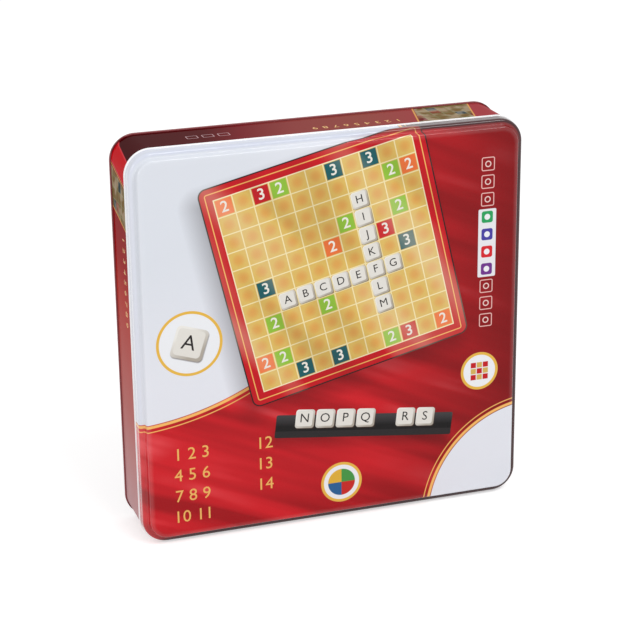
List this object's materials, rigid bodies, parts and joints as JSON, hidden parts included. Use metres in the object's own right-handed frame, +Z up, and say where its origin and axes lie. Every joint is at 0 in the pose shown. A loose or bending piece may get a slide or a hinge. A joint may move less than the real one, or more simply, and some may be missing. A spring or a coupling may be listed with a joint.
{
  "type": "tin game case",
  "caption": "Square tinplate game case with rounded corners and a lift-off lid, holding a formed insert, rolled mat, tile racks, rules booklet and letter tiles.",
  "frame": {"origin": "middle of the footprint on the surface that the case stands on, half way through its depth", "axes": "+Z up as the case stands on its lower edge, -Y out of the lid, +X to the right when facing the lid"},
  "size_m": [0.28, 0.055, 0.28],
  "materials": {
    "lid_print": "gloss lacquer over print",
    "wall_print": "gloss lacquer over print",
    "back_lacquer": "gloss lacquer",
    "insert_plastic": "satin formed sheet",
    "mat_rubber": "foam rubber with a printed cloth face",
    "rack_plastic": "fine moulded texture",
    "tile_plastic": "soft gloss",
    "booklet_paper": "matt paper",
    "staple_wire": "drawn wire"
  },
  "bodies": {
    "case": {"body_wall": "wall_print", "bottom_panel": "back_lacquer"},
    "lid": {"lid": "lid_print"},
    "insert": {"insert_tray": "insert_plastic"},
    "mat": {"game_mat": "mat_rubber"},
    "rack_1": {"rack_1": "rack_plastic"},
    "rack_2": {"rack_2": "rack_plastic"},
    "rack_3": {"rack_3": "rack_plastic"},
    "rack_4": {"rack_4": "rack_plastic"},
    "booklet": {"rules_booklet": "booklet_paper", "booklet_staples": "staple_wire"},
    "tile_layer1": {"tile_layer1_row1": "tile_plastic", "tile_layer1_row2": "tile_plastic", "tile_layer1_row3": "tile_plastic", "tile_layer1_row4": "tile_plastic", "tile_layer1_row5": "tile_plastic"},
    "tile_layer2": {"tile_layer2_row1": "tile_plastic", "tile_layer2_row2": "tile_plastic", "tile_layer2_row3": "tile_plastic", "tile_layer2_row4": "tile_plastic", "tile_layer2_row5": "tile_plastic"},
    "tile_layer3": {"tile_layer3_row1": "tile_plastic", "tile_layer3_row2": "tile_plastic", "tile_layer3_row3": "tile_plastic", "tile_layer3_row4": "tile_plastic", "tile_layer3_row5": "tile_plastic"},
    "tile_layer4": {"tile_layer4_row1": "tile_plastic", "tile_layer4_row2": "tile_plastic", "tile_layer4_row3": "tile_plastic", "tile_layer4_row4": "tile_plastic", "tile_layer4_row5": "tile_plastic"}
  },
  "joints": [
    {"name": "lid_lift", "type": "slide", "parent": "case", "child": "lid", "axis": [0, -1, 0], "range_m": [0, 0.3]},
    {"name": "insert_lift", "type": "slide", "parent": "case", "child": "insert", "axis": [0, -1, 0], "range_m": [0, 0.072]},
    {"name": "mat_lift", "type": "slide", "parent": "insert", "child": "mat", "axis": [0, -1, 0], "range_m": [0, 0.054]},
    {"name": "rack_1_lift", "type": "slide", "parent": "insert", "child": "rack_1", "axis": [0, -1, 0], "range_m": [0, 0.045]},
    {"name": "rack_2_lift", "type": "slide", "parent": "insert", "child": "rack_2", "axis": [0, -1, 0], "range_m": [0, 0.045]},
    {"name": "rack_3_lift", "type": "slide", "parent": "insert", "child": "rack_3", "axis": [0, -1, 0], "range_m": [0, 0.063]},
    {"name": "rack_4_lift", "type": "slide", "parent": "insert", "child": "rack_4", "axis": [0, -1, 0], "range_m": [0, 0.063]},
    {"name": "booklet_lift", "type": "slide", "parent": "insert", "child": "booklet", "axis": [0, -1, 0], "range_m": [0, 0.15]},
    {"name": "tile_layer1_lift", "type": "slide", "parent": "insert", "child": "tile_layer1", "axis": [0, -1, 0], "range_m": [0, 0.048]},
    {"name": "tile_layer2_lift", "type": "slide", "parent": "insert", "child": "tile_layer2", "axis": [0, -1, 0], "range_m": [0, 0.06]},
    {"name": "tile_layer3_lift", "type": "slide", "parent": "insert", "child": "tile_layer3", "axis": [0, -1, 0], "range_m": [0, 0.072]},
    {"name": "tile_layer4_lift", "type": "slide", "parent": "insert", "child": "tile_layer4", "axis": [0, -1, 0], "range_m": [0, 0.084]}
  ],
  "couplings": [
    {"joint": "insert_lift", "follows": "lid_lift", "ratio": 0.24},
    {"joint": "mat_lift", "follows": "lid_lift", "ratio": 0.18},
    {"joint": "rack_1_lift", "follows": "lid_lift", "ratio": 0.15},
    {"joint": "rack_2_lift", "follows": "lid_lift", "ratio": 0.15},
    {"joint": "rack_3_lift", "follows": "lid_lift", "ratio": 0.21},
    {"joint": "rack_4_lift", "follows": "lid_lift", "ratio": 0.21},
    {"joint": "booklet_lift", "follows": "lid_lift", "ratio": 0.5},
    {"joint": "tile_layer1_lift", "follows": "lid_lift", "ratio": 0.16},
    {"joint": "tile_layer2_lift", "follows": "lid_lift", "ratio": 0.2},
    {"joint": "tile_layer3_lift", "follows": "lid_lift", "ratio": 0.24},
    {"joint": "tile_layer4_lift", "follows": "lid_lift", "ratio": 0.28}
  ]
}
